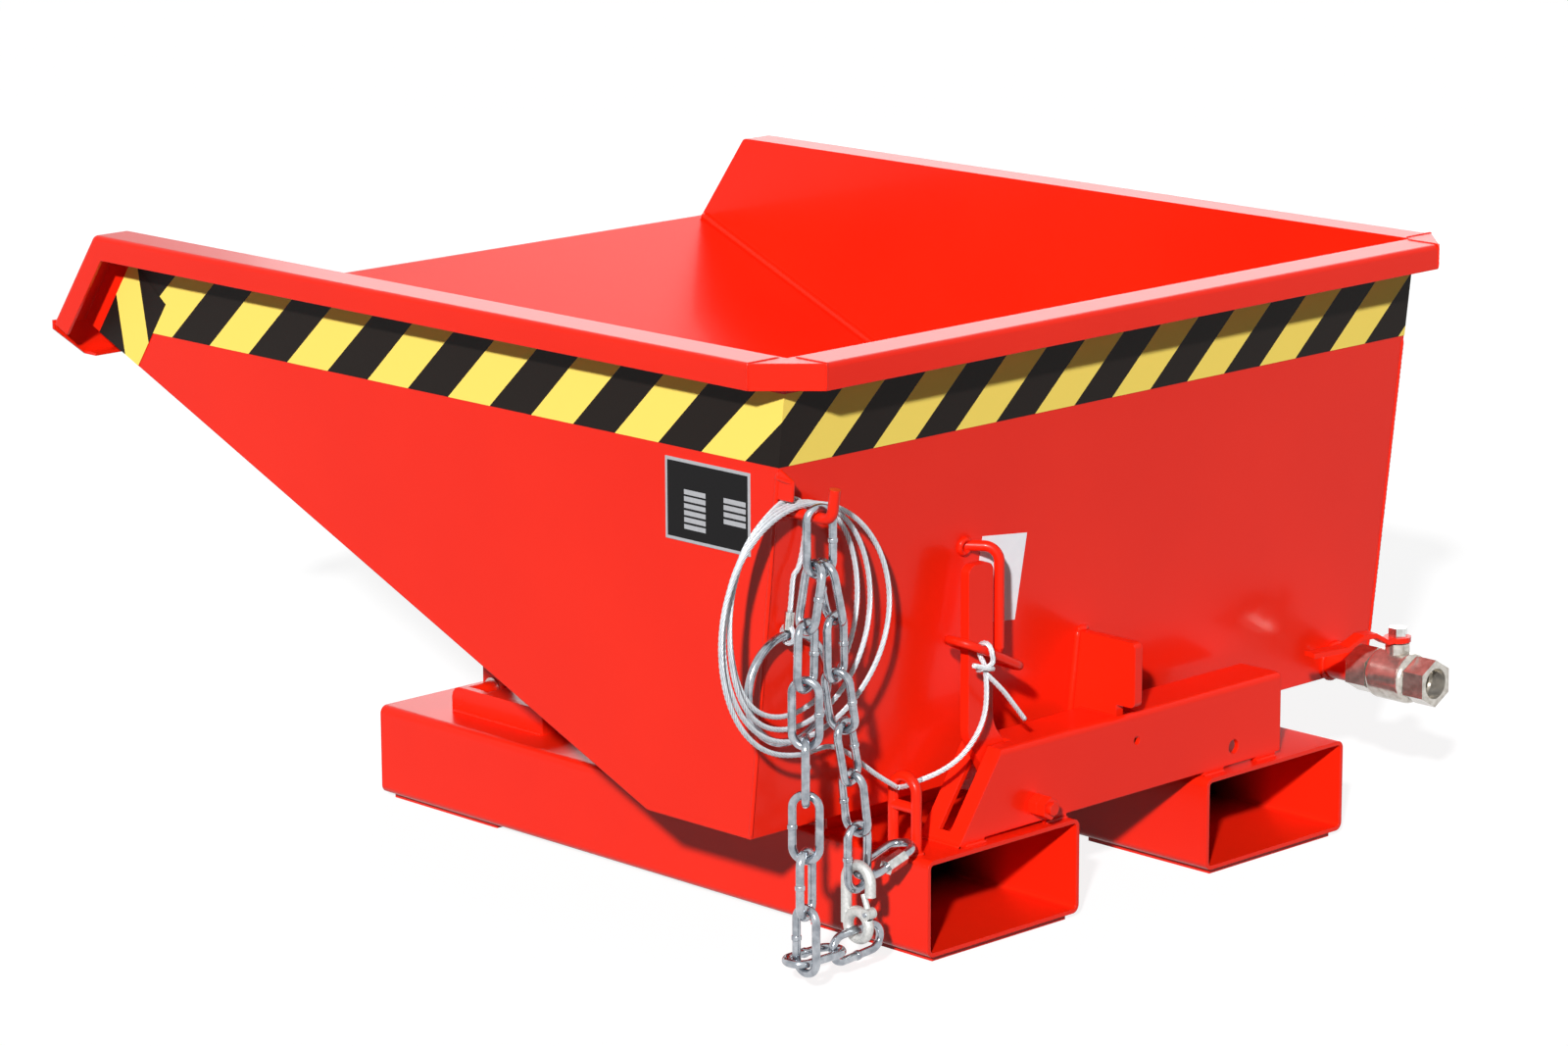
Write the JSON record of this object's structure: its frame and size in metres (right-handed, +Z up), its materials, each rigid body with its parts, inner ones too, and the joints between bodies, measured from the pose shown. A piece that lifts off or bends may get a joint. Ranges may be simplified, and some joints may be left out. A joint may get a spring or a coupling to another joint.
{
  "type": "fork-mounted tipping skip",
  "caption": "Tipping skip with a sloped body hinged on two fork pockets, a rope-released latch, a chain with a safety hook and a drain ball valve.",
  "frame": {"origin": "on the floor under the middle of the rigid part's overall box", "axes": "+X towards the tipping lip, +Y to the side with the chain, +Z up"},
  "size_m": [1.094, 0.9808, 0.567],
  "materials": {
    "red_paint": "gloss",
    "galvanised_steel": "satin",
    "galvanised_casting": "matte",
    "plated_steel": "satin",
    "nickel_brass": "satin",
    "wire_rope": "satin"
  },
  "bodies": {
    "base": {"left_fork_tube": "red_paint", "right_fork_tube": "red_paint", "front_skid_plates": "red_paint", "rear_skid_plates": "red_paint", "rest_bar": "red_paint", "front_crossmember": "red_paint", "left_hinge_cheek": "red_paint", "right_hinge_cheek": "red_paint", "hinge_axle": "red_paint", "rear_crossbar": "red_paint", "latch_pivot_bolt": "red_paint", "latch_spacer": "red_paint", "latch_pivot_nuts": "red_paint", "chain_staple": "red_paint", "rope_through_staple": "wire_rope"},
    "skip": {"bottom_sheet": "red_paint", "slope_sheet": "red_paint", "front_lip": "red_paint", "rear_wall": "red_paint", "left_side_panel": "red_paint", "right_side_panel": "red_paint", "rim_corner_patches": "red_paint", "left_hinge_leg": "red_paint", "right_hinge_leg": "red_paint", "hinge_bushes": "plated_steel", "catch_plate": "red_paint", "keeper_hook": "red_paint", "storage_hook": "red_paint", "drain_nipple": "red_paint", "valve_body": "nickel_brass", "chain_left_strand": "galvanised_steel", "chain_right_strand": "galvanised_steel", "safety_hook": "galvanised_casting", "gate_rivet": "plated_steel", "quick_link": "galvanised_steel", "quick_link_sleeve": "galvanised_steel", "rope_coil": "wire_rope", "rope_lead_left": "wire_rope", "rope_eye": "wire_rope", "rope_ferrule": "plated_steel", "pull_ring": "galvanised_steel"},
    "latch": {"latch_lever": "red_paint", "release_ring": "red_paint", "rope_knot": "wire_rope", "rope_lead_right": "wire_rope"},
    "valve": {"valve_stem": "plated_steel", "valve_ball": "nickel_brass", "valve_handle": "red_paint", "valve_stem_nut": "plated_steel"},
    "gate": {"hook_gate": "galvanised_casting"}
  },
  "joints": [
    {"name": "skip_tip", "type": "hinge", "parent": "base", "child": "skip", "pos_m": [0.186, 0, 0.112], "axis": [0, 1, 0], "range_deg": [0, 54]},
    {"name": "latch_swing", "type": "hinge", "parent": "base", "child": "latch", "pos_m": [-0.466, 0.138, 0.117], "axis": [-1, 0, 0], "range_deg": [0, 15]},
    {"name": "valve_turn", "type": "hinge", "parent": "skip", "child": "valve", "pos_m": [-0.499, -0.372, 0.145], "axis": [0, 0, 1], "range_deg": [0, 90]},
    {"name": "gate_swing", "type": "hinge", "parent": "skip", "child": "gate", "pos_m": [-0.4952, 0.3576, 0.0625], "axis": [0, 1, 0], "range_deg": [0, 15], "stiffness_Nm_per_rad": 0.05}
  ]
}
